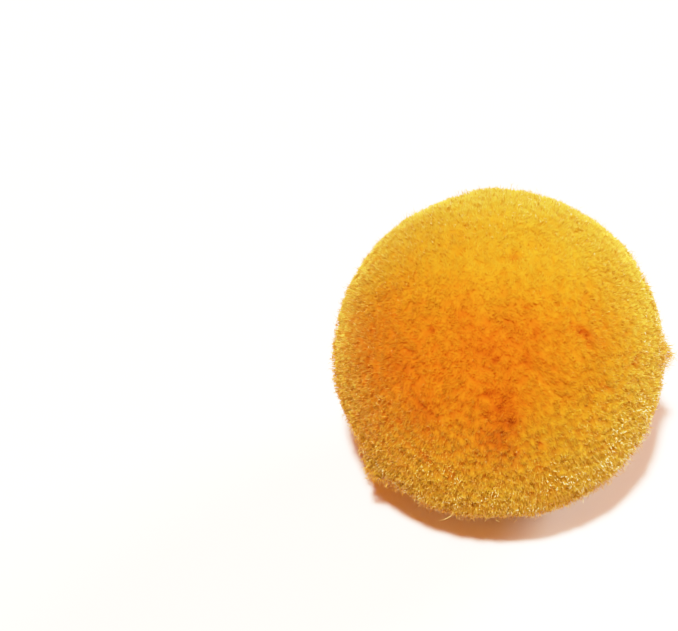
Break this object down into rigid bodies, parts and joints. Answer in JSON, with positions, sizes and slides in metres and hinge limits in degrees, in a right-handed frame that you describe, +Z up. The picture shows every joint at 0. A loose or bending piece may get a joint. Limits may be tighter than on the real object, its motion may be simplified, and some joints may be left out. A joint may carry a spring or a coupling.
{
  "type": "yarn pom pom",
  "caption": "Fluffy round pom pom of cut wool yarn, a soft ball that trims hats, bags, cushions and garlands.",
  "frame": {"origin": "on the table, under the middle of the ball, on the small flat spot that it rests on", "axes": "+Z is up, and the picture looks along +Y, down onto the ball, with +X to the right"},
  "size_m": [0.0658, 0.0656, 0.0634],
  "materials": {
    "yarn": "matte"
  },
  "bodies": {
    "root": {"pom_pom": "yarn"}
  },
  "joints": []
}
